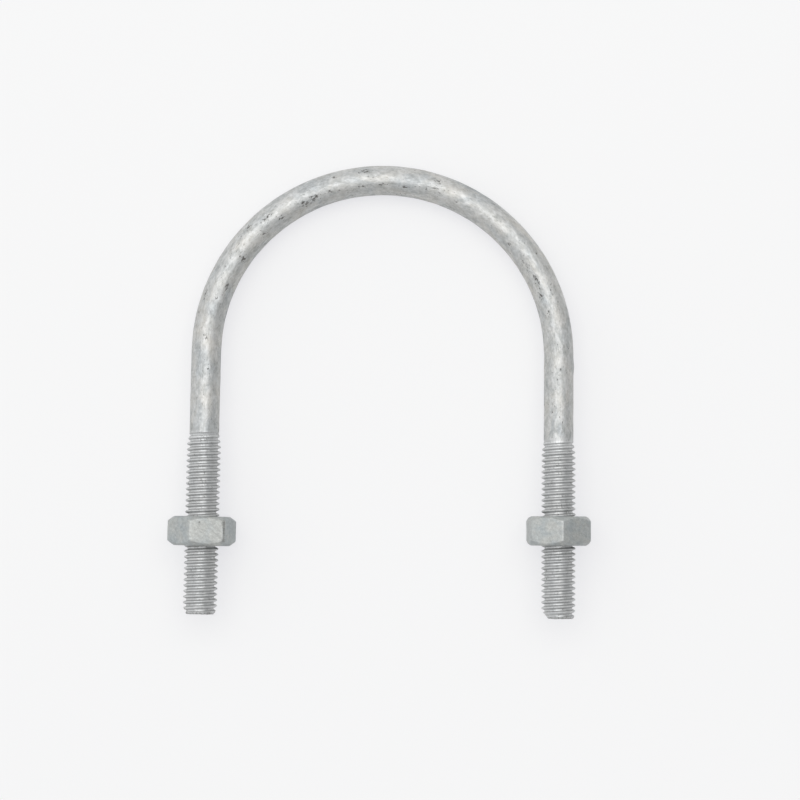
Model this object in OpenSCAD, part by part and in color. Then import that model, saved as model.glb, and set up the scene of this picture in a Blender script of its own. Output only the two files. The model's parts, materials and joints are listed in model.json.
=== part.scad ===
// U-bolt for a 3 inch (DN 80) pipe: a round steel bar bent to half a circle, a thread rolled
// on the end of each leg, and one hexagon nut on each leg.
// It lies flat: X runs across the legs, Y towards the crown and Z up.
// The origin is on the axis of the pipe that the bend holds.

/* [Bar] */
// Clear width between the legs where the bend ends
inside_w = 91; // [60:0.5:160]
// Diameter of the plain bar
bar_d = 8.3; // [7.6:0.1:8.6]
// Height from the top of the crown to the ends of the legs
overall_h = 127; // [125:0.5:200]
// Outward lean of each leg in degrees, left by the bar springing back
leg_lean = 0.45; // [0:0.05:0.5]

/* [Thread] */
// Diameter over the crests of the thread, 3/8 inch
thread_d = 9.525; // [9.3:0.025:9.6]
// Distance from one crest to the next, 16 to the inch
pitch = 1.5875; // [1.25:0.0125:1.6]
// Length of thread on each leg
thread_len = 50; // [45:0.5:60]
// Chamfer on the end of each leg
end_chamfer = 0.9; // [0.3:0.1:1.2]

/* [Nuts] */
// Width of a nut across its flats
nut_flats = 17; // [16:0.1:19]
// Height of a nut
nut_h = 8.2; // [7:0.1:9]
// Distance from the end of the left leg to the middle of its nut
left_nut_at = 23.2; // [5:0.1:26]
// Distance from the end of the right leg to the middle of its nut
right_nut_at = 24.5; // [5:0.1:26]
// Turn of the left nut in degrees from a flat on top, its top towards the other leg
left_nut_turn = 14.1; // [-30:0.1:30]
// Turn of the right nut in degrees from a flat on top, its top towards the other leg
right_nut_turn = 25.6; // [-30:0.1:30]
// Diameter of the flat ring that a nut bears on, inside its chamfers
nut_face_d = 15.6; // [15:0.1:16]
// Angle of the chamfers on the corners of a nut, from its faces
nut_chamfer = 35; // [25:1:40]

/* [Hidden] */
$fn = 96;

LEFT = -1;
RIGHT = 1;
zinc = [0.66, 0.67, 0.68];
zinc_dull = [0.56, 0.57, 0.56];

bar_r = bar_d / 2;
bend_r = inside_w / 2 + bar_r;

// The legs end this far below the pipe's axis, and are a little longer as they lean
leg_drop = overall_h - bend_r - bar_r;
leg_len = (leg_drop + bend_r * sin(leg_lean)) / cos(leg_lean);

// Whitworth form: 55 degrees between the flanks, with narrow lands at crest and root
crest_r = thread_d / 2;
thread_depth = 0.6403 * pitch;
root_r = crest_r - thread_depth;
flank_run = thread_depth * tan(27.5);
land = pitch / 2 - flank_run;
groove_count = floor((thread_len - end_chamfer) / pitch);

// The nut's threaded wall clears the crests, and turns with a running fit in the hexagon
nut_corner_r = nut_flats / 2 / cos(30);
nut_bore_r = crest_r + 0.09;
nut_wall_r = nut_bore_r + 0.6;
running_gap = 0.04;
countersink = 0.5;

// Draws its children for the right half, or mirrored for the left half
module on_half(side) {
    if (side == LEFT) mirror([1, 0, 0]) children();
    else children();
}

// Places its children in a leg's own frame: the end of the leg at zero, Z towards the crown
module on_leg(side) {
    on_half(side)
        rotate([0, 0, leg_lean])
            translate([bend_r, -leg_len, 0])
                rotate([-90, 0, 0])
                    children();
}

// Outline of one groove, from its edge nearer the leg's end to its far edge
function groove(z) = [
    [crest_r, z],
    [root_r, z + flank_run],
    [root_r, z + flank_run + land],
    [crest_r, z + 2 * flank_run + land],
];

// Half outline of a leg: chamfered end, grooved thread, plain bar
module leg_outline() {
    first_groove = end_chamfer + land;
    grooves = [for (i = [0 : groove_count - 1]) each groove(first_groove + i * pitch)];
    polygon(concat(
        [[0, 0], [crest_r - end_chamfer, 0], [crest_r, end_chamfer]],
        grooves,
        [[crest_r, thread_len], [bar_r, thread_len + crest_r - bar_r]],
        [[bar_r, leg_len], [0, leg_len]]
    ));
}

module leg(side) {
    on_leg(side) rotate_extrude() leg_outline();
}

// Half of the bend, from the top of a leg to the middle of the crown
module half_bend(side) {
    on_half(side)
        rotate([0, 0, leg_lean])
            rotate_extrude(angle = 90 - leg_lean)
                translate([bend_r, 0])
                    circle(r = bar_r);
}

// The bent bar with both of its threaded legs
module bar() {
    color(zinc) union() {
        for (side = [LEFT, RIGHT]) {
            half_bend(side);
            leg(side);
        }
    }
}

// Half outline of the turned form that chamfers a nut's corners at both ends
module chamfer_outline() {
    face_r = nut_face_d / 2;
    drop = (nut_corner_r - face_r) * tan(nut_chamfer);
    polygon([
        [0, -nut_h / 2],
        [face_r, -nut_h / 2],
        [nut_corner_r, drop - nut_h / 2],
        [nut_corner_r, nut_h / 2 - drop],
        [face_r, nut_h / 2],
        [0, nut_h / 2],
    ]);
}

// The hexagon of a nut, open where its threaded wall runs
module hexagon() {
    difference() {
        intersection() {
            cylinder(r = nut_corner_r, h = nut_h, center = true, $fn = 6);
            rotate_extrude() chamfer_outline();
        }
        cylinder(r = nut_wall_r + running_gap, h = nut_h + 2, center = true);
    }
}

// The threaded wall of a nut, countersunk at both ends
module threaded_wall() {
    rotate_extrude() polygon([
        [nut_bore_r, countersink - nut_h / 2],
        [nut_bore_r + countersink, -nut_h / 2],
        [nut_wall_r, -nut_h / 2],
        [nut_wall_r, nut_h / 2],
        [nut_bore_r + countersink, nut_h / 2],
        [nut_bore_r, nut_h / 2 - countersink],
    ]);
}

// Places its children at a nut's middle, with its top turned towards the other leg
module at_nut(side, distance, turn) {
    on_leg(side) translate([0, 0, distance]) rotate([0, 0, -turn]) children();
}

module left_nut() {
    color(zinc_dull) at_nut(LEFT, left_nut_at, left_nut_turn) hexagon();
}

module left_nut_thread() {
    color(zinc_dull) at_nut(LEFT, left_nut_at, left_nut_turn) threaded_wall();
}

module right_nut() {
    color(zinc_dull) at_nut(RIGHT, right_nut_at, right_nut_turn) hexagon();
}

module right_nut_thread() {
    color(zinc_dull) at_nut(RIGHT, right_nut_at, right_nut_turn) threaded_wall();
}

bar();
left_nut();
left_nut_thread();
right_nut();
right_nut_thread();
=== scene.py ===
"""A galvanised U-bolt with its two nuts, lying on pale paper under soft studio light.

The bar is one mesh swept along its own line, with a true right-hand helix on each leg.
Each nut carries the same helix inside, so it stays in mesh with the bar wherever it travels.
"""

import json
import math

import bpy
import numpy as np
from mathutils import Matrix, Vector, noise


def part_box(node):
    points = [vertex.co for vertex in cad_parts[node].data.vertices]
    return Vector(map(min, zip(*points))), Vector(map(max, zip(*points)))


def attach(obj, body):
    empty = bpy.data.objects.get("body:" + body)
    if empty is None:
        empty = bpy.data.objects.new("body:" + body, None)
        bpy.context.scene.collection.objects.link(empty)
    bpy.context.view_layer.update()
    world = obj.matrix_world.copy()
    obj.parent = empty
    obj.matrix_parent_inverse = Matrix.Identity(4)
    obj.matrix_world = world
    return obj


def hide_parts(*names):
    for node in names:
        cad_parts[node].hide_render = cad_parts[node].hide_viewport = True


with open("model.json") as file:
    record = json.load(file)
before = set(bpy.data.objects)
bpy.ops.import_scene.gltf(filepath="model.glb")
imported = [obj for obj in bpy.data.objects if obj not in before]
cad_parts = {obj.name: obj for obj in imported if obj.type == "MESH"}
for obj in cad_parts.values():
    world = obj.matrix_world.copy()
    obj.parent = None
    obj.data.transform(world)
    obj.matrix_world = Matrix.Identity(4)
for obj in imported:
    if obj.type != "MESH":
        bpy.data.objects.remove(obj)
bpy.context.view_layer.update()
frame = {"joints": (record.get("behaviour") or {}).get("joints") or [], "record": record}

MM = 0.001
TURN = 2 * math.pi
SIDES = ("left", "right")


# Sizes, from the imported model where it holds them, in metres

def named(rows):
    return {row["name"]: row for row in rows}


mounts = named(frame["record"]["mounts"])
joints = named(frame["joints"])
couplings = frame["record"]["behaviour"]["couplings"]
bar_low, bar_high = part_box("bar")

SEAT_R = mounts["pipe_seat"]["dims"]["r_mm"] * MM
BAR_R = (bar_high.y - SEAT_R) / 2
BEND_R = (bar_high.y + SEAT_R) / 2
CREST_R = mounts["leg_studs"]["dims"]["stud_r_mm"] * MM
PITCH = couplings[0]["ratio"] * TURN
LEAN = math.atan2(*joints["left_nut_travel"]["axis"][:2])
NUT_PLACES = {side: Vector(joints[side + "_nut_turn"]["pos_m"]) for side in SIDES}

# A leaning leg's end face reaches lowest at its rim, inside the chamfer
END_CHAMFER = 0.9 * MM
END_FACE_R = CREST_R - END_CHAMFER
LEG_END_Y = bar_low.y + END_FACE_R * math.sin(LEAN)
LEG_LENGTH = (BEND_R * math.sin(LEAN) - LEG_END_Y) / math.cos(LEAN)
BEND_LENGTH = BEND_R * (math.pi - 2 * LEAN)
BAR_LENGTH = 2 * LEG_LENGTH + BEND_LENGTH

# The left thread is rolled a little further up its leg than the right one
THREAD_LENGTHS = {"left": 51 * MM, "right": 50 * MM}
ZINC_ON_CREST = 0.03 * MM
THREAD_CREST_R = CREST_R + ZINC_ON_CREST
THREAD_DEPTH = 0.92 * MM
THREAD_ROOT_R = THREAD_CREST_R - THREAD_DEPTH
ROOT_BLEND = 0.1 * MM
# The share of a pitch that is flat root, and how blunt the crest's dome is
ROOT_SHARE = 0.34
DOME = 2.2
# How far the crests take to rise from the plain bar, and the roots to sink into it
CREST_RUN_OUT = 2.5 * PITCH
ROOT_RUN_OUT = 0.5 * PITCH
# How far round its turn each thread's helix starts
THREAD_PHASES = {"left": 0.515, "right": 0.38}

NUT_HEIGHT = 8.2 * MM
NUT_FLATS = 17 * MM
NUT_FACE_R = 7.8 * MM
NUT_CHAMFER = math.radians(35)
NUT_TURNS = {"left": math.radians(14.1), "right": math.radians(25.6)}
NUT_EDGE_R = 0.7 * MM
# How pale each face is, from the outer side of the U over its top: partly the zinc's own tone,
# partly a painted highlight on the left nut's upward face
FACE_TINTS_AND_SHEEN = {"left": (0.3, 0.95, 0.3, 0.7, 0.2, 0.6), "right": (0.5, 0.5, 0.4, 0.8, 0.3, 0.6)}
COUNTERSINK = 0.55 * MM
# Between the thread of a nut's bore and its leg's
RUNNING_GAP = 0.11 * MM


# Shapes in terms of s, the distance along the bar's line from the left leg's end, and around,
# the angle about that line from the outer side of the U towards +Z

def line_frame(s):
    """Centre, outward and forward directions of the bar's line, each as an array of points."""
    s = np.asarray(s, float)
    bent = np.clip(s - LEG_LENGTH, 0, BEND_LENGTH)
    straight = s - LEG_LENGTH - bent
    angle = math.pi - LEAN - bent / BEND_R
    flat = np.zeros_like(angle)
    outward = np.stack([np.cos(angle), np.sin(angle), flat], -1)
    forward = np.stack([np.sin(angle), -np.cos(angle), flat], -1)
    return BEND_R * outward + straight[..., None] * forward, outward, forward


def at(s, around, radius):
    """Points at a radius from the bar's line."""
    s, around, radius = np.broadcast_arrays(s, around, radius)
    centre, outward, _ = line_frame(s)
    spread = (radius * np.cos(around))[..., None] * outward
    spread[..., 2] += radius * np.sin(around)
    return centre + spread


def soft_min(a, b, blend):
    share = np.clip(0.5 + 0.5 * (b - a) / blend, 0, 1)
    return b * (1 - share) + a * share - blend * share * (1 - share)


def soft_max(a, b, blend):
    return -soft_min(-a, -b, blend)


def smooth_step(x):
    x = np.clip(x, 0, 1)
    return x * x * (3 - 2 * x)


# Where a flank starts and ends, and how soon it does, in the units of off_crest
FLANK_START, FLANK_RISE = 0.25, 0.5
FLANK_END, FLANK_FALL = 0.98, 0.2


def off_crest(s, around, side):
    """How far a point is from the crest of a right-hand helix: 1 where the flat root begins."""
    turns = s / PITCH - around / TURN + THREAD_PHASES[side]
    return np.abs(2 * (turns % 1) - 1) / (1 - ROOT_SHARE)


def thread_radius(s, around, side):
    """Domed crests and flat roots, as the zinc leaves them."""
    radius = THREAD_CREST_R - THREAD_DEPTH * off_crest(s, around, side) ** DOME
    return soft_max(radius, THREAD_ROOT_R, ROOT_BLEND)


def flank_share(s, around, side):
    """1 on the steep part of a flank, 0 on crest and root."""
    off = off_crest(s, around, side)
    below_crest = smooth_step((off - FLANK_START) / FLANK_RISE)
    return below_crest * (1 - smooth_step((off - FLANK_END) / FLANK_FALL))


SEED_SHIFT = Vector((17.3, 5.1, 9.7))


def noise_at(points, size, seed):
    """Smooth noise from -1 to 1 at each point, with features of about that size."""
    shift = SEED_SHIFT * seed
    flat = points.reshape(-1, 3) / size
    values = [noise.noise(Vector(p) + shift) for p in flat]
    return np.array(values).reshape(points.shape[:-1])


def closed_mesh(name, points, loop_rows=False):
    """A closed mesh from a grid of points whose columns run round it.

    Its rows either run in a loop too, or end in a point at both ends.
    """
    rows, columns = points.shape[:2]
    vertices = points.reshape(-1, 3).tolist()
    quads = []
    for i in range(rows if loop_rows else rows - 1):
        here, there = i * columns, (i + 1) % rows * columns
        for j in range(columns):
            k = (j + 1) % columns
            quads.append((here + j, here + k, there + k, there + j))
    if not loop_rows:
        first, last = len(vertices), len(vertices) + 1
        vertices.append(points[0].mean(0).tolist())
        vertices.append(points[-1].mean(0).tolist())
        end = (rows - 1) * columns
        for j in range(columns):
            k = (j + 1) % columns
            quads.append((first, k, j))
            quads.append((last, end + j, end + k))
    mesh = bpy.data.meshes.new(name)
    mesh.from_pydata(vertices, [], quads)
    mesh.shade_smooth()
    piece = bpy.data.objects.new(name, mesh)
    bpy.context.scene.collection.objects.link(piece)
    return piece


def add_values(piece, name, values, kind="FLOAT"):
    """Stores a number or a vector per vertex, for the materials to read."""
    field = "vector" if kind == "FLOAT_VECTOR" else "value"
    width = 3 if kind == "FLOAT_VECTOR" else 1
    values = np.asarray(values, np.float32)
    full = values.reshape(-1, width)
    if len(full) < len(piece.data.vertices):
        ends = np.stack([values[0].mean(0), values[-1].mean(0)]).reshape(-1, width)
        full = np.concatenate([full, ends])
    layer = piece.data.attributes.new(name, kind, "POINT")
    layer.data.foreach_set(field, full.ravel())


# The bar

BAR_COLUMNS = 64
THREAD_STEP = PITCH / 15
PLAIN_STEP = 0.4 * MM
ROWS_PAST_THREAD = 1 * MM
CAP_SHARES = (0.15, 0.35, 0.55, 0.75, 0.92)
# The worn chamfer of each leg's end: its length, its mean depth, how much deeper it is on its deep
# side, and the direction of that side
CHAMFERS = {"left": (1.9 * MM, 0.8 * MM, 0.1 * MM, 0.0),
            "right": (2.2 * MM, 1.15 * MM, 0.75 * MM, math.pi)}
CHAMFER_BLEND = 0.25 * MM
# How far from its end each leg's thread has been knocked, and how deep and how big the dents are
KNOCKED = {"left": 22 * MM, "right": 7 * MM}
DENT_DEPTH, DENT_SIZE, DENT_THRESHOLD = 0.25 * MM, 1.5 * MM, 0.1
# The zinc's unevenness: how high each kind stands and the size of its features
WAVE_HEIGHT, WAVE_SIZE = 0.045 * MM, 5 * MM
RIPPLE_HEIGHT, RIPPLE_SIZE = 0.03 * MM, 1.1 * MM
RIPPLE_SQUEEZE = (0.4, 1, 1)
PIT_DEPTH = 0.07 * MM
# The share of the waves and ripples that is missing on the threads
THREAD_CALM = 0.4
# The lump of zinc on the outer side of the right leg; its spread around the bar is squared
LUMP_HEIGHT, LUMP_LENGTH, LUMP_SPREAD = 0.22 * MM, 1.5 * MM, 0.12
LUMP_FROM_END = 70.5 * MM
# The sawn ends: how rough they are outwards and along, the size of that, and how far it reaches
SAWN_OUT, SAWN_ALONG = 0.1 * MM, 0.12 * MM
SAWN_SIZE, SAWN_REACH = 0.9 * MM, 0.8 * MM
RIM_REACH = 0.5 * MM


def bar_rows():
    """Places along the bar's line, close together on the threads, with shares for the caps."""
    close = max(THREAD_LENGTHS.values()) + ROWS_PAST_THREAD
    thread = np.arange(0, close, THREAD_STEP)
    plain_count = round((BAR_LENGTH - 2 * thread[-1]) / PLAIN_STEP)
    plain = np.linspace(thread[-1], BAR_LENGTH - thread[-1], plain_count)
    s = np.concatenate([thread, plain[1:-1], BAR_LENGTH - thread[::-1]])
    cap = len(CAP_SHARES)
    share = np.concatenate([CAP_SHARES, np.ones(len(s)), CAP_SHARES[::-1]])
    s = np.concatenate([np.zeros(cap), s, np.full(cap, BAR_LENGTH)])
    return s[:, None], share[:, None]


def leg_radius(s, around, from_end, side):
    """Radius of a leg: plain bar, a thread that fades out towards it, and a worn chamfer."""
    into = THREAD_LENGTHS[side] - from_end
    height = thread_radius(s, around, side) - BAR_R
    rise = smooth_step(into / CREST_RUN_OUT)
    dip = smooth_step(into / ROOT_RUN_OUT)
    radius = BAR_R + np.where(height > 0, rise * height, dip * height)
    length, mean, more, towards = CHAMFERS[side]
    depth = mean + more * np.cos(around - towards)
    cone = CREST_R - depth * (1 - from_end / length)
    return soft_min(radius, cone, CHAMFER_BLEND)


# The pitted patches and cracks of the bend's zinc: degrees along it from the right leg, degrees
# around the bar from its outer side, half width in millimetres, times longer than wide, and how
# much of the middle is pitted
SCARS = (
    (114, 111, 0.75, 2.4, 1.0), (109, 109, 0.70, 1.8, 0.8), (118, 115, 0.75, 2.2, 0.9),
    (100, 132, 0.60, 1.8, 0.6), (96, 55, 0.80, 2.4, 0.7), (106, 60, 0.60, 1.6, 0.6),
    (97, 117, 0.22, 7.0, 1.0), (90, 114, 0.20, 8.0, 1.0), (83, 119, 0.22, 7.0, 1.0),
    (83, 82, 0.60, 1.6, 0.5), (73, 65, 0.70, 2.0, 0.8), (67, 86, 0.45, 1.4, 0.8),
    (65, 115, 0.60, 1.8, 0.7), (131, 78, 0.90, 2.4, 0.6), (127, 118, 0.60, 1.4, 0.9),
    (146, 123, 0.55, 1.4, 1.0), (137, 48, 0.80, 2.2, 0.7), (135, 120, 0.60, 1.8, 0.8),
    (157, 119, 0.45, 2.4, 1.0), (147, 105, 0.70, 1.6, 0.6), (161, 46, 0.90, 2.4, 0.7),
    (162, 96, 0.70, 2.0, 0.7), (175, 89, 0.70, 1.8, 0.7), (168, 40, 0.60, 2.6, 0.6),
    (42, 126, 0.45, 1.3, 0.9), (33, 121, 0.80, 3.0, 0.9), (27, 112, 0.70, 2.4, 0.9),
    (21, 119, 0.70, 2.2, 0.9), (15, 113, 0.50, 1.6, 0.9), (23, 67, 0.50, 1.6, 0.6),
    (52, 240, 0.80, 1.8, 0.8), (88, 300, 0.70, 2.2, 0.8), (124, 262, 0.90, 2.4, 0.8),
    (150, 205, 0.70, 1.6, 0.8), (70, 190, 0.70, 2.4, 0.8), (105, 225, 0.60, 1.5, 0.9))


def scar_places():
    """Each scar's distance along the bar, angle around it, size, length and depth shares."""
    for along, around, size, longer, depth in SCARS:
        s = LEG_LENGTH + BEND_R * (math.pi - LEAN - math.radians(along))
        yield s, math.radians(around), size * MM, longer, depth


def pit_field(s, around):
    """0 on sound zinc, 1 in the middle of a scar."""
    field = np.zeros(np.broadcast(s, around).shape)
    for place, angle, size, longer, depth in scar_places():
        away = (around - angle + math.pi) % TURN - math.pi
        across = away * BAR_R / size
        along = (s - place) / (longer * size)
        field = np.maximum(field, depth * np.exp(-across ** 2 - along ** 2))
    return field


def on_each_leg(s, values):
    """The left leg's value on the left half of the bar, and the right leg's on the right half."""
    return np.where(s < BAR_LENGTH / 2, values["left"], values["right"])


def straightened(s, around, radius):
    """Points of the bar where they would be if it were straight, with its line along x."""
    across, up = radius * np.cos(around), radius * np.sin(around)
    return np.stack(np.broadcast_arrays(s, across, up), -1)


def lump_share(s, around):
    """1 on top of the lump, falling to 0 around it."""
    along = (s - BAR_LENGTH + LUMP_FROM_END) / LUMP_LENGTH
    away = (around + math.pi) % TURN - math.pi
    return np.exp(-along ** 2 - away ** 2 / LUMP_SPREAD)


def zinc_relief(s, around, from_end, threaded, streaks):
    """How far the zinc's skin stands out: waves, ripples, pits, the lump and the dents."""
    plain = at(s, around, BAR_R)
    waves = WAVE_HEIGHT * noise_at(plain, WAVE_SIZE, 1)
    ripples = RIPPLE_HEIGHT * noise_at(streaks * RIPPLE_SQUEEZE, RIPPLE_SIZE, 2)
    relief = (waves + ripples) * (1 - THREAD_CALM * threaded)
    relief = relief - PIT_DEPTH * pit_field(s, around) + LUMP_HEIGHT * lump_share(s, around)
    knocked = smooth_step(1 - from_end / on_each_leg(s, KNOCKED))
    dents = np.clip(noise_at(plain, DENT_SIZE, 5) - DENT_THRESHOLD, 0, 1)
    return relief - DENT_DEPTH * knocked * dents


def make_bar():
    s, share = bar_rows()
    around = np.arange(BAR_COLUMNS)[None, :] / BAR_COLUMNS * TURN
    from_end = np.minimum(s, BAR_LENGTH - s)
    radius = on_each_leg(s, {side: leg_radius(s, around, from_end, side) for side in SIDES})
    flanks = on_each_leg(s, {side: flank_share(s, around, side) for side in SIDES})
    into = on_each_leg(s, THREAD_LENGTHS) + 0.5 * PITCH - from_end
    threaded = smooth_step(into / PITCH)
    streaks = straightened(s, around, BAR_R * share)
    sawn = noise_at(straightened(s, around, radius * share), SAWN_SIZE, 3)
    sawn = sawn * np.clip(1 - from_end / SAWN_REACH, 0, 1)
    relief = zinc_relief(s, around, from_end, threaded, streaks)
    radius = (radius + relief + SAWN_OUT * sawn) * share
    piece = closed_mesh("ubolt_bar", at(s + SAWN_ALONG * sawn, around, radius))
    outside = share == 1
    rim = np.exp(-(from_end / RIM_REACH) ** 2) * outside
    add_values(piece, "streaks", streaks, "FLOAT_VECTOR")
    add_values(piece, "threaded", np.broadcast_to(threaded, radius.shape))
    # Where the threads' steep flanks are, for their painted shade
    add_values(piece, "flanks", flanks * threaded * outside)
    add_values(piece, "rim", np.broadcast_to(rim, radius.shape))
    return piece


# The nuts

SECTOR_STEPS = 20
CORNER_CROWDING = 0.7
BORE_STEP = PITCH / 12
# The rounding where a face meets its chamfer, and where the chamfer meets the flats
FACE_ROUND, FACE_ROUND_STEPS = 0.9 * MM, 4
SIDE_ROUND, SIDE_ROUND_STEPS = 0.5 * MM, 5
# Where the rows lie across a face, and from a chamfer to the nut's middle
FACE_SHARES = np.linspace(0.15, 0.8, 5)
SIDE_SHARES = np.linspace(0.3, 1, 6)
MOUTH_BLEND = 0.15 * MM
# The nuts' unevenness: how high each kind stands and the size of its features
NUT_WAVE_HEIGHT, NUT_WAVE_SIZE = 0.04 * MM, 2.6 * MM
NUT_RIPPLE_HEIGHT, NUT_RIPPLE_SIZE = 0.02 * MM, 0.9 * MM
CORNER_REACH = 0.9 * MM
# The share of a face over which its tint and painted highlight fade towards its neighbours
TINT_FADE = 0.1


def nut_angles(turn):
    """Angles round a nut, closer together at its six corners."""
    share = np.arange(SECTOR_STEPS) / SECTOR_STEPS
    share = share - CORNER_CROWDING * np.sin(TURN * share) / TURN
    corners = np.arange(6)[:, None]
    return turn + ((corners + share) * TURN / 6).ravel()


def hexagon_radius(angle, turn):
    """Distance from a nut's axis to its hexagon, which has rounded upright edges."""
    half_sector = math.pi / 6
    off = np.abs((angle - turn + half_sector) % (TURN / 6) - half_sector)
    reach = (NUT_FLATS / 2 - NUT_EDGE_R) / math.cos(half_sector)
    turn_off = math.atan2(NUT_EDGE_R * math.sin(half_sector),
                          reach + NUT_EDGE_R * math.cos(half_sector))
    flat = NUT_FLATS / 2 / np.cos(half_sector - off)
    inside = np.maximum(NUT_EDGE_R ** 2 - (reach * np.sin(off)) ** 2, 0)
    return np.where(off < turn_off, reach * np.cos(off) + np.sqrt(inside), flat)


# The most of a profile's side that a rounded corner may take
LONGEST_CUT = 0.45


def fillet(before, corner, after, radius, steps):
    """Points on a rounded corner of a profile; each point is an array of (r, z) pairs."""
    back = before - corner
    ahead = after - corner
    back_length = np.linalg.norm(back, axis=-1, keepdims=True)
    ahead_length = np.linalg.norm(ahead, axis=-1, keepdims=True)
    back, ahead = back / back_length, ahead / ahead_length
    cosine = np.clip((back * ahead).sum(-1, keepdims=True), -1, 1)
    half = np.arccos(cosine) / 2
    longest = LONGEST_CUT * np.minimum(back_length, ahead_length)
    cut = np.minimum(radius / np.tan(half), longest)
    start, end = corner + back * cut, corner + ahead * cut
    points = []
    for i in range(steps + 1):
        t = i / steps
        points.append((1 - t) ** 2 * start + 2 * t * (1 - t) * corner + t ** 2 * end)
    return points


def nut_outside(angle, turn):
    """Rows of (r, z) from the bore's lower edge over the outside to its upper edge."""
    outer = hexagon_radius(angle, turn)
    half = NUT_HEIGHT / 2
    drop = (outer - NUT_FACE_R) * math.tan(NUT_CHAMFER)
    whole = np.ones_like(outer)
    mouth = (CREST_R + COUNTERSINK) * whole

    def profile(r, z):
        return np.stack([r * whole, z * whole], -1)

    lower = [profile(mouth, -half), profile(NUT_FACE_R, -half), profile(outer, -half + drop)]
    middle = profile(outer, 0)
    rows = []
    for share in FACE_SHARES:
        rows.append(lower[0] + share * (lower[1] - lower[0]))
    rows += fillet(lower[0], lower[1], lower[2], FACE_ROUND, FACE_ROUND_STEPS)
    rows.append((lower[1] + lower[2]) / 2)
    rows += fillet(lower[1], lower[2], middle, SIDE_ROUND, SIDE_ROUND_STEPS)
    for share in SIDE_SHARES:
        rows.append(lower[2] + share * (middle - lower[2]))
    upper = [row * (1, -1) for row in rows[-2::-1]]
    return rows + upper


def nut_bore(angle, place, side):
    """Rows of (r, z) down the threaded bore, countersunk at both ends."""
    half = NUT_HEIGHT / 2
    heights = np.linspace(half, -half, round(NUT_HEIGHT / BORE_STEP))
    rows = []
    for z in heights:
        thread = thread_radius(place + z, angle, side) + RUNNING_GAP
        mouth = CREST_R + COUNTERSINK - (half - abs(z))
        rows.append(np.stack([soft_max(thread, mouth, MOUTH_BLEND), np.full_like(angle, z)], -1))
    return rows


def face_tint_and_sheen(angle, side):
    """The tint and painted highlight of the face at each angle from a nut's first corner, fading
    out at the corners.
    """
    faces = angle * 6 / TURN
    from_edge = np.minimum(faces % 1, 1 - faces % 1)
    # The small addition keeps a corner's rounding error from putting it on the face before
    tint_and_sheen = np.array(FACE_TINTS_AND_SHEEN[side])[np.floor(faces + 1e-6).astype(int) % 6]
    return 0.5 + (tint_and_sheen - 0.5) * smooth_step(from_edge / TINT_FADE)


def make_nut(side):
    to_nut = (NUT_PLACES[side] - leg_end(side)).length
    place = to_nut if side == "left" else BAR_LENGTH - to_nut
    turn = NUT_TURNS[side]
    angle = nut_angles(turn)
    outside = np.array(nut_outside(angle, turn))
    bore = np.array(nut_bore(angle, place, side))
    profile = np.concatenate([outside, bore])
    radius, height = profile[..., 0], profile[..., 1]
    on_outside = (np.arange(len(profile)) < len(outside))[:, None]
    plain = at(place + height, angle, radius)
    waves = NUT_WAVE_HEIGHT * noise_at(plain, NUT_WAVE_SIZE, 4)
    ripples = NUT_RIPPLE_HEIGHT * noise_at(plain, NUT_RIPPLE_SIZE, 6)
    radius = radius + (waves + ripples) * on_outside
    piece = closed_mesh(side + "_hex_nut", at(place + height, angle, radius), loop_rows=True)
    edge = hexagon_radius(angle, turn) - NUT_FLATS / 2
    # Nearness to an upright edge, for the painted highlight there
    add_values(piece, "corner", np.clip(edge / CORNER_REACH, 0, 1) * on_outside)
    # Each face's tint, partly the zinc's own tone and partly a painted highlight
    add_values(piece, "tint_and_sheen", np.broadcast_to(face_tint_and_sheen(angle - turn, side), radius.shape))
    return piece


def leg_end(side):
    centre, _, _ = line_frame(0.0 if side == "left" else BAR_LENGTH)
    return Vector(centre)


# Materials

def new_material(name):
    material = bpy.data.materials.new(name)
    material.use_nodes = True
    tree = material.node_tree
    return material, tree, tree.nodes["Principled BSDF"]


def add_node(tree, kind, links=None, **settings):
    """Adds a node; settings are its properties or, where it has an input of that name, values."""
    node = tree.nodes.new("ShaderNode" + kind)
    for key, value in settings.items():
        title = key.replace("_", " ").title()
        if title in node.inputs:
            node.inputs[title].default_value = value
        else:
            setattr(node, key, value)
    for socket, source in (links or {}).items():
        tree.links.new(source, node.inputs[socket])
    return node


def noise_node(tree, vector, scale, detail, roughness, distortion=0.0):
    """Noise whose features are 1 / scale millimetres."""
    node = add_node(tree, "TexNoise", {"Vector": vector}, scale=scale / MM, detail=detail,
                    roughness=roughness, distortion=distortion)
    return node.outputs[0]


def ramp_node(tree, source, stops):
    """A colour ramp; stops are (position, colour or grey)."""
    node = add_node(tree, "ValToRGB", {"Fac": source})
    ramp = node.color_ramp
    while len(ramp.elements) < len(stops):
        ramp.elements.new(0.5)
    for element, (position, colour) in zip(ramp.elements, stops):
        grey = isinstance(colour, (int, float))
        element.position = position
        element.color = (colour, colour, colour, 1) if grey else (*colour, 1)
    return node.outputs["Color"]


def mix_node(tree, share, a, b, blend="MIX"):
    """Mixes two colours; a and b are sockets or colours."""
    node = tree.nodes.new("ShaderNodeMix")
    node.data_type = "RGBA"
    node.blend_type = blend
    for index, value in ((0, share), (6, a), (7, b)):
        if isinstance(value, bpy.types.NodeSocket):
            tree.links.new(value, node.inputs[index])
        else:
            node.inputs[index].default_value = value if index == 0 else (*value, 1)
    return node.outputs[2]


def maths(tree, operation, *values):
    node = add_node(tree, "Math", operation=operation)
    for index, value in enumerate(values):
        if isinstance(value, bpy.types.NodeSocket):
            tree.links.new(value, node.inputs[index])
        else:
            node.inputs[index].default_value = value
    return node.outputs[0]


def attribute(tree, name, output="Fac"):
    node = add_node(tree, "Attribute", attribute_name=name)
    return node.outputs[output]


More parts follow.
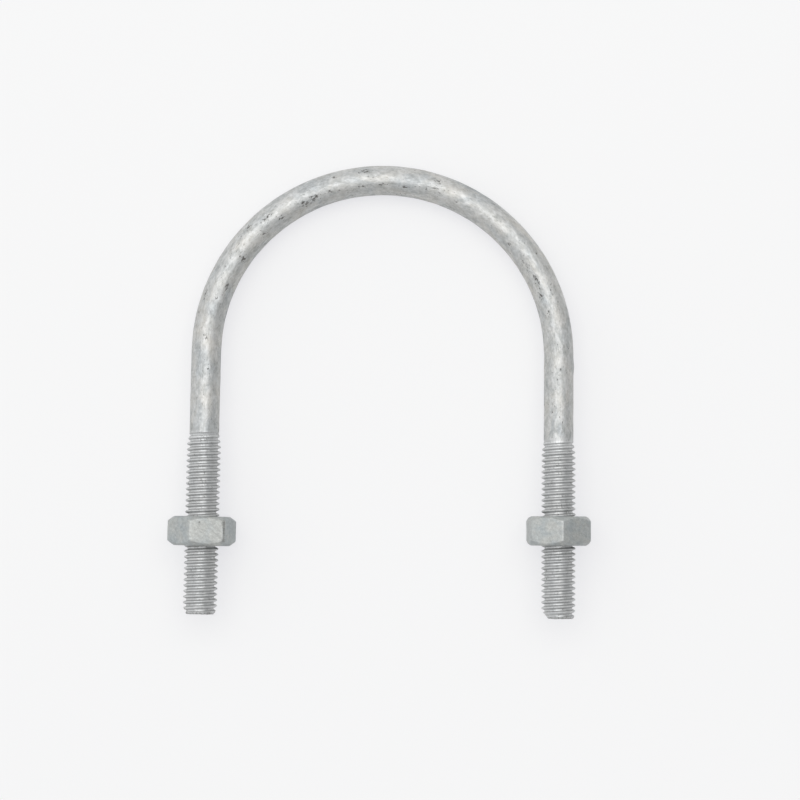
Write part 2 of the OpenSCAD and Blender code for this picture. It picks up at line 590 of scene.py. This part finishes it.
def bump_node(tree, height, distance, strength, normal=None):
    links = {"Height": height}
    if normal is not None:
        links["Normal"] = normal
    return add_node(tree, "Bump", links, distance=distance, strength=strength).outputs[0]


def join_shaders(tree, kind, first, second, share=None):
    node = tree.nodes.new("ShaderNode" + kind)
    sources = [first, second] if share is None else [share, first, second]
    for source, socket in zip(sources, node.inputs):
        tree.links.new(source, socket)
    return node.outputs[0]


MIDDLE_OF_NOISE = (0.5, 0.5, 0.5)


def ragged_place(tree, place, size, reach):
    """The place shifted by noise, so that whatever is drawn with it has a ragged outline."""
    ragged = add_node(tree, "TexNoise", {"Vector": place}, scale=1 / size, detail=4.0)
    bend = add_node(tree, "VectorMath", {"Vector": ragged.outputs["Color"]}, operation="SUBTRACT")
    bend.inputs[1].default_value = MIDDLE_OF_NOISE
    shift = add_node(tree, "VectorMath", {"Vector": bend.outputs[0]}, operation="SCALE")
    shift.inputs["Scale"].default_value = reach
    moved = add_node(tree, "VectorMath", {"Vector": place}, operation="ADD")
    tree.links.new(shift.outputs[0], moved.inputs[1])
    return moved.outputs[0]


# How much of a scar's depth is gone at its half width
SCAR_FADE = 0.5


def scar_share(tree, place, scars):
    """0 on sound zinc, up to a scar's depth in its middle.

    Each scar is its centre, its stretch along the three axes, its half width and its depth.
    """
    whole = 0.0
    for centre, stretch, size, depth in scars:
        away = add_node(tree, "VectorMath", {"Vector": place}, operation="SUBTRACT")
        away.inputs[1].default_value = centre
        flat = add_node(tree, "VectorMath", {"Vector": away.outputs[0]}, operation="DIVIDE")
        flat.inputs[1].default_value = stretch
        length = add_node(tree, "VectorMath", {"Vector": flat.outputs[0]}, operation="LENGTH")
        fade = maths(tree, "MULTIPLY_ADD", length.outputs["Value"], -SCAR_FADE / size, depth)
        whole = maths(tree, "MAXIMUM", fade, whole)
    return whole


def bar_scars():
    """The bar's scars, placed on its unrolled skin as its streaks are."""
    for s, angle, size, longer, depth in scar_places():
        centre = (s, BAR_R * math.cos(angle), BAR_R * math.sin(angle))
        yield centre, (longer, 1, 1), size, depth


COOL_ZINC = (0.455, 0.475, 0.48)
WARM_ZINC = (0.60, 0.59, 0.56)
# The threads' own cooler zinc, painted lighter as a painted highlight on crests and roots, and the
# painted shade of their steep flanks
THREAD_TONE_AND_SHEEN = (0.65, 0.66, 0.662)
FLANK_PAINTED_SHADE = (0.42, 0.425, 0.42)
BAR_DIRT = (0.13, 0.125, 0.115)
THREAD_ROUGHNESS = (0.37, 0.37, 0.37)
DIRT_ROUGHNESS = (0.8, 0.8, 0.8)


def bar_zinc():
    """Hot-dip zinc: satin grey, warm where it is bright, with streaks, scars and clustered pits;
    the threads are painted lighter as a painted highlight, with painted shade on their steep
    flanks.
    """
    material, tree, shader = new_material("bar_zinc")
    streaks = attribute(tree, "streaks", "Vector")
    along = add_node(tree, "Mapping", {"Vector": streaks}, scale=(0.5, 1, 1)).outputs[0]
    patches = noise_node(tree, along, 0.22, detail=4, roughness=0.6, distortion=0.4)
    mottle = noise_node(tree, along, 0.75, detail=5, roughness=0.65, distortion=0.5)
    grain = noise_node(tree, along, 2.4, detail=4, roughness=0.65, distortion=0.2)
    clusters = noise_node(tree, along, 0.35, detail=2, roughness=0.5)
    specks = noise_node(tree, along, 2.6, detail=3, roughness=0.6, distortion=0.4)
    ragged = ragged_place(tree, streaks, size=0.9 * MM, reach=1.6 * MM)
    scars = scar_share(tree, ragged, bar_scars())

    tone = ramp_node(tree, patches, [(0.32, COOL_ZINC), (0.68, WARM_ZINC)])
    threaded = attribute(tree, "threaded")
    # Painted highlight: the threads' zinc is lighter than the bar's; painted shade: their steep
    # flanks are darker
    even = maths(tree, "MULTIPLY", threaded, 0.75)
    tone = mix_node(tree, even, tone, THREAD_TONE_AND_SHEEN)
    painted_flank_shade = maths(tree, "MULTIPLY", attribute(tree, "flanks"), 0.75)
    tone = mix_node(tree, painted_flank_shade, tone, FLANK_PAINTED_SHADE)
    # The threads have less mottle, dirt and relief than the plain bar
    calm = maths(tree, "MULTIPLY_ADD", threaded, -0.4, 1.0)
    blend = maths(tree, "MULTIPLY", calm, 0.6)
    soft = ramp_node(tree, mottle, [(0.3, 0.3), (0.7, 0.7)])
    colour = mix_node(tree, blend, tone, soft, "OVERLAY")
    grains = ramp_node(tree, grain, [(0.3, 0.34), (0.7, 0.66)])
    colour = mix_node(tree, blend, colour, grains, "OVERLAY")
    # Specks turn to dirt below this level, which is higher in clusters, scars and sawn rims
    level = ramp_node(tree, clusters, [(0.4, 0.0), (0.65, 0.075)])
    level = maths(tree, "MULTIPLY_ADD", threaded, 0.035, level)
    level = maths(tree, "MULTIPLY_ADD", attribute(tree, "rim"), 0.2, level)
    level = maths(tree, "MULTIPLY_ADD", scars, 0.27, level)
    pitted = maths(tree, "SUBTRACT", specks, level)
    dirt = ramp_node(tree, pitted, [(0.255, 1.0), (0.31, 0.0)])
    dirt = maths(tree, "MULTIPLY", dirt, calm)
    colour = mix_node(tree, maths(tree, "MULTIPLY", dirt, 0.85), colour, BAR_DIRT)
    tree.links.new(colour, shader.inputs["Base Color"])

    rough = ramp_node(tree, mottle, [(0.3, 0.52), (0.7, 0.4)])
    rough = mix_node(tree, threaded, rough, THREAD_ROUGHNESS)
    rough = mix_node(tree, dirt, rough, DIRT_ROUGHNESS)
    tree.links.new(rough, shader.inputs["Roughness"])
    shader.inputs["Metallic"].default_value = 0.6

    normal = bump_node(tree, maths(tree, "MULTIPLY", mottle, calm), 0.1 * MM, 0.7)
    normal = bump_node(tree, maths(tree, "MULTIPLY", grain, calm), 0.04 * MM, 0.6, normal)
    normal = bump_node(tree, dirt, -0.08 * MM, 0.8, normal)
    tree.links.new(normal, shader.inputs["Normal"])
    return material


# The chips in the left nut's zinc: degrees around from its top face's middle, millimetres above
# its own middle, times longer than wide, half width in millimetres and how deep they go
CHIPS = ((30, -2.3, 1.4, 0.50, 1.0), (30, 2.4, 1.6, 0.50, 1.0), (30, 0.3, 7.0, 0.32, 0.9),
         (-14, 2.4, 1.0, 0.50, 0.55), (0, 0.8, 1.0, 0.45, 0.50), (9, -0.1, 1.0, 0.50, 0.55),
         (23, -1.9, 1.0, 0.25, 0.80), (140, 1.2, 1.0, 0.60, 0.60), (-95, -1.6, 1.0, 0.60, 0.60))


def nut_scars():
    """Where the left nut's zinc is chipped: mostly along one upright edge."""
    to_nut = (NUT_PLACES["left"] - leg_end("left")).length
    for around, height, longer, size, depth in CHIPS:
        angle = NUT_TURNS["left"] + TURN / 4 + math.radians(around)
        reach = hexagon_radius(angle, NUT_TURNS["left"])
        centre = at(to_nut + height * MM, angle, reach)
        yield tuple(centre), (1, longer, 1), size * MM, depth


DULL_ZINC = (0.385, 0.415, 0.42)
CLEAN_ZINC = (0.475, 0.485, 0.465)
NUT_DIRT = (0.16, 0.16, 0.145)
# The painted highlight of the nuts' upright edges
EDGE_PAINTED_HIGHLIGHT = (0.66, 0.67, 0.65)


def nut_zinc():
    """Duller zinc, greener than the bar, finely mottled, with a painted highlight along the upright
    edges.
    """
    material, tree, shader = new_material("nut_zinc")
    place = add_node(tree, "TexCoord").outputs["Object"]
    slanted = add_node(tree, "Mapping", {"Vector": place}, vector_type="TEXTURE",
                       rotation=(0, 0, -0.7), scale=(1.4, 0.9, 1)).outputs[0]
    patches = noise_node(tree, place, 0.3, detail=4, roughness=0.6, distortion=0.5)
    mottle = noise_node(tree, slanted, 1.3, detail=4, roughness=0.6, distortion=0.4)
    fine = noise_node(tree, place, 4.0, detail=3, roughness=0.6)
    specks = noise_node(tree, slanted, 1.6, detail=5, roughness=0.7, distortion=0.8)

    # A face's tint of 0.5 leaves its patches as they are; the paler tints are partly a painted
    # highlight
    paler_and_lit = maths(tree, "MULTIPLY_ADD", attribute(tree, "tint_and_sheen"), 0.3, -0.15)
    patches = maths(tree, "ADD", patches, paler_and_lit)
    tone = ramp_node(tree, patches, [(0.35, DULL_ZINC), (0.65, CLEAN_ZINC)])
    soft = ramp_node(tree, mottle, [(0.3, 0.35), (0.7, 0.65)])
    colour = mix_node(tree, 0.5, tone, soft, "OVERLAY")
    grains = ramp_node(tree, fine, [(0.3, 0.35), (0.7, 0.65)])
    colour = mix_node(tree, 0.5, colour, grains, "OVERLAY")
    ragged = ragged_place(tree, place, size=0.6 * MM, reach=0.7 * MM)
    scars = scar_share(tree, ragged, nut_scars())
    level = maths(tree, "MULTIPLY_ADD", scars, -0.35, specks)
    dirt = ramp_node(tree, level, [(0.29, 1.0), (0.36, 0.0)])
    colour = mix_node(tree, maths(tree, "MULTIPLY", dirt, 0.7), colour, NUT_DIRT)
    # Painted highlight along the upright edges
    corner = attribute(tree, "corner")
    colour = mix_node(tree, maths(tree, "MULTIPLY", corner, 0.1), colour, EDGE_PAINTED_HIGHLIGHT)
    tree.links.new(colour, shader.inputs["Base Color"])

    rough = ramp_node(tree, mottle, [(0.3, 0.5), (0.7, 0.38)])
    tree.links.new(rough, shader.inputs["Roughness"])
    shader.inputs["Metallic"].default_value = 0.55

    normal = bump_node(tree, mottle, 0.1 * MM, 0.6)
    normal = bump_node(tree, fine, 0.03 * MM, 0.6, normal)
    normal = bump_node(tree, dirt, -0.06 * MM, 0.6, normal)
    tree.links.new(normal, shader.inputs["Normal"])
    return material


PAPER = (0.82, 0.82, 0.82, 1)
PAPER_IN_VIEW = (0.29, 0.29, 0.255, 1)
PAPER_GLOW, GLOW_STRENGTH = (0.945, 0.945, 1, 1), 0.67


def paper():
    """Matt pale paper that is seen only from above, so views from below look past it.

    It bounces light as plain paper does, but in view it partly glows, which keeps it even.
    """
    material, tree, shader = new_material("paper")
    tree.nodes.remove(shader)
    matt = add_node(tree, "BsdfDiffuse", color=PAPER).outputs[0]
    pale = add_node(tree, "BsdfDiffuse", color=PAPER_IN_VIEW).outputs[0]
    glow = add_node(tree, "Emission", color=PAPER_GLOW, strength=GLOW_STRENGTH).outputs[0]
    lifted = join_shaders(tree, "AddShader", pale, glow)
    seen = add_node(tree, "LightPath").outputs["Is Camera Ray"]
    top = join_shaders(tree, "MixShader", matt, lifted, seen)
    clear = add_node(tree, "BsdfTransparent").outputs[0]
    behind = add_node(tree, "NewGeometry").outputs["Backfacing"]
    whole = join_shaders(tree, "MixShader", top, clear, behind)
    tree.links.new(whole, tree.nodes["Material Output"].inputs["Surface"])
    return material


# The set: floor, light and camera

def lowest_point(piece, up, beyond=-1.0):
    """The piece's lowest point along up, among those with y above beyond."""
    points = [v.co for v in piece.data.vertices if v.co.y > beyond]
    return min(points, key=lambda point: point.dot(up)).copy()


RESTING_ROUNDS = 3


def resting_plane(bar, nuts):
    """A point and the upward normal of the plane that the crown and both nuts rest on."""
    up = Vector((0, 0, 1))
    for _ in range(RESTING_ROUNDS):
        crown = lowest_point(bar, up, 0)
        feet = [lowest_point(nut, up) for nut in nuts]
        up = (feet[0] - crown).cross(feet[1] - crown).normalized()
    return crown, up


def stage_axes(up):
    """Across, ahead and up directions of the set."""
    across = Vector((0, 1, 0)).cross(up).normalized()
    return across, up.cross(across), up


FLOOR_HALF = 2.5


def make_floor(foot, axes):
    across, ahead, _ = axes
    corners = [foot + FLOOR_HALF * (x * across + y * ahead)
               for x, y in ((-1, -1), (1, -1), (1, 1), (-1, 1))]
    mesh = bpy.data.meshes.new("floor")
    mesh.from_pydata(corners, [], [range(4)])
    mesh.materials.append(paper())
    floor = bpy.data.objects.new("floor", mesh)
    bpy.context.scene.collection.objects.link(floor)


def aim(thing, back, up, place):
    """Puts a lamp or camera at place, with its back along back and its top towards up."""
    right = up.cross(back).normalized()
    top = back.cross(right)
    axes = Matrix((right, top, back)).transposed().to_4x4()
    thing.matrix_world = Matrix.Translation(place) @ axes


# The softbox hangs above and ahead of the bar; its place is across, ahead and up in metres
SOFTBOX_PLACE = (-0.03, 0.30, 1.0)
SOFTBOX_SIZE = (1.2, 0.85)
SOFTBOX_POWER = 4.75


def make_softbox(axes):
    across, ahead, up = axes
    lamp = bpy.data.lights.new("overhead", "AREA")
    lamp.shape = "RECTANGLE"
    lamp.size, lamp.size_y = SOFTBOX_SIZE
    lamp.energy = SOFTBOX_POWER
    softbox = bpy.data.objects.new("overhead", lamp)
    bpy.context.scene.collection.objects.link(softbox)
    x, y, z = SOFTBOX_PLACE
    place = x * across + y * ahead + z * up
    aim(softbox, place.normalized(), ahead, place)


# The studio's walls are brightest towards the top left
WALL_COLOUR = (0.985, 0.99, 1.0, 1)
WALL_LIGHT = 0.63
WALL_SLOPE = (-0.27, 0.18, 0.14)


def make_walls():
    world = bpy.data.worlds.new("studio")
    world.use_nodes = True
    tree = world.node_tree
    background = tree.nodes["Background"]
    background.inputs["Color"].default_value = WALL_COLOUR
    direction = add_node(tree, "TexCoord").outputs["Generated"]
    lean = add_node(tree, "VectorMath", {"Vector": direction}, operation="DOT_PRODUCT")
    lean.inputs[1].default_value = WALL_SLOPE
    strength = maths(tree, "ADD", lean.outputs["Value"], WALL_LIGHT)
    tree.links.new(strength, background.inputs["Strength"])
    bpy.context.scene.world = world


# The camera looks straight down at the bar from this far, and sees this width at the bar's middle
CAMERA_DISTANCE = 0.7
FIELD = 225.4 * MM
ORIGIN_OFF_CENTRE = (-4.94 * MM, 12.5 * MM)
ROLL = math.radians(0.75)
SENSOR_WIDTH = 36
NEAREST, FURTHEST = 0.01, 20


def make_camera(axes):
    across, ahead, up = axes
    turned = Matrix.Rotation(ROLL, 3, up)
    right, top = turned @ across, turned @ ahead
    lens = bpy.data.cameras.new("camera")
    lens.sensor_width = SENSOR_WIDTH
    lens.lens = SENSOR_WIDTH * CAMERA_DISTANCE / FIELD
    lens.clip_start, lens.clip_end = NEAREST, FURTHEST
    camera = bpy.data.objects.new("camera", lens)
    bpy.context.scene.collection.objects.link(camera)
    x, y = ORIGIN_OFF_CENTRE
    aim(camera, up, top, CAMERA_DISTANCE * up - x * right - y * top)
    bpy.context.scene.camera = camera


# The whole scene

bar = make_bar()
bar.data.materials.append(bar_zinc())
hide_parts("bar")
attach(bar, "bar")

zinc = nut_zinc()
nuts = []
for side in SIDES:
    nut = make_nut(side)
    nut.data.materials.append(zinc)
    body = side + "_nut"
    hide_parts(body, body + "_thread")
    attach(nut, body)
    nuts.append(nut)

foot, upward = resting_plane(bar, nuts)
set_axes = stage_axes(upward)
make_floor(foot, set_axes)
make_walls()
make_softbox(set_axes)
make_camera(set_axes)
bpy.context.scene.view_settings.view_transform = "Standard"
